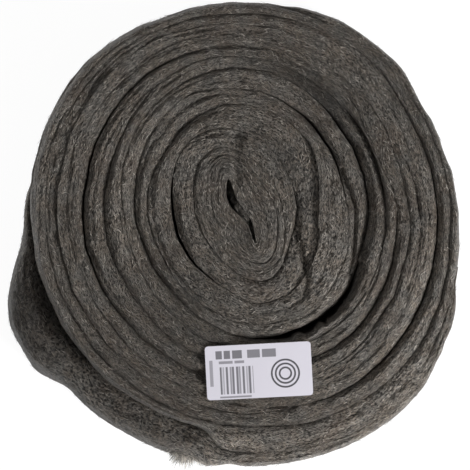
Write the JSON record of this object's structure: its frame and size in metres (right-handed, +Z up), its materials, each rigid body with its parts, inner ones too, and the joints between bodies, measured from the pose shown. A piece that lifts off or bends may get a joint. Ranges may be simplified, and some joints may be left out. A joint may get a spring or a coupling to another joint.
{
  "type": "steel wool roll",
  "caption": "Round roll of fine steel wool strip wound on edge round a folded start, with a loose tail at one side and a plain paper label on top.",
  "frame": {"origin": "middle of the roll's box, on the surface that it stands on", "axes": "+Z up along the axis of the winding, +X to the right and +Y away from a viewer who reads the label from above"},
  "size_m": [0.304, 0.313, 0.1007],
  "materials": {
    "steel_wool": "fine matted steel fibre, dull grey with a brownish cast",
    "label_paper": "smooth white sticker paper with plain grey print"
  },
  "bodies": {
    "root": {"wool_roll": "steel_wool", "paper_label": "label_paper"}
  },
  "joints": []
}
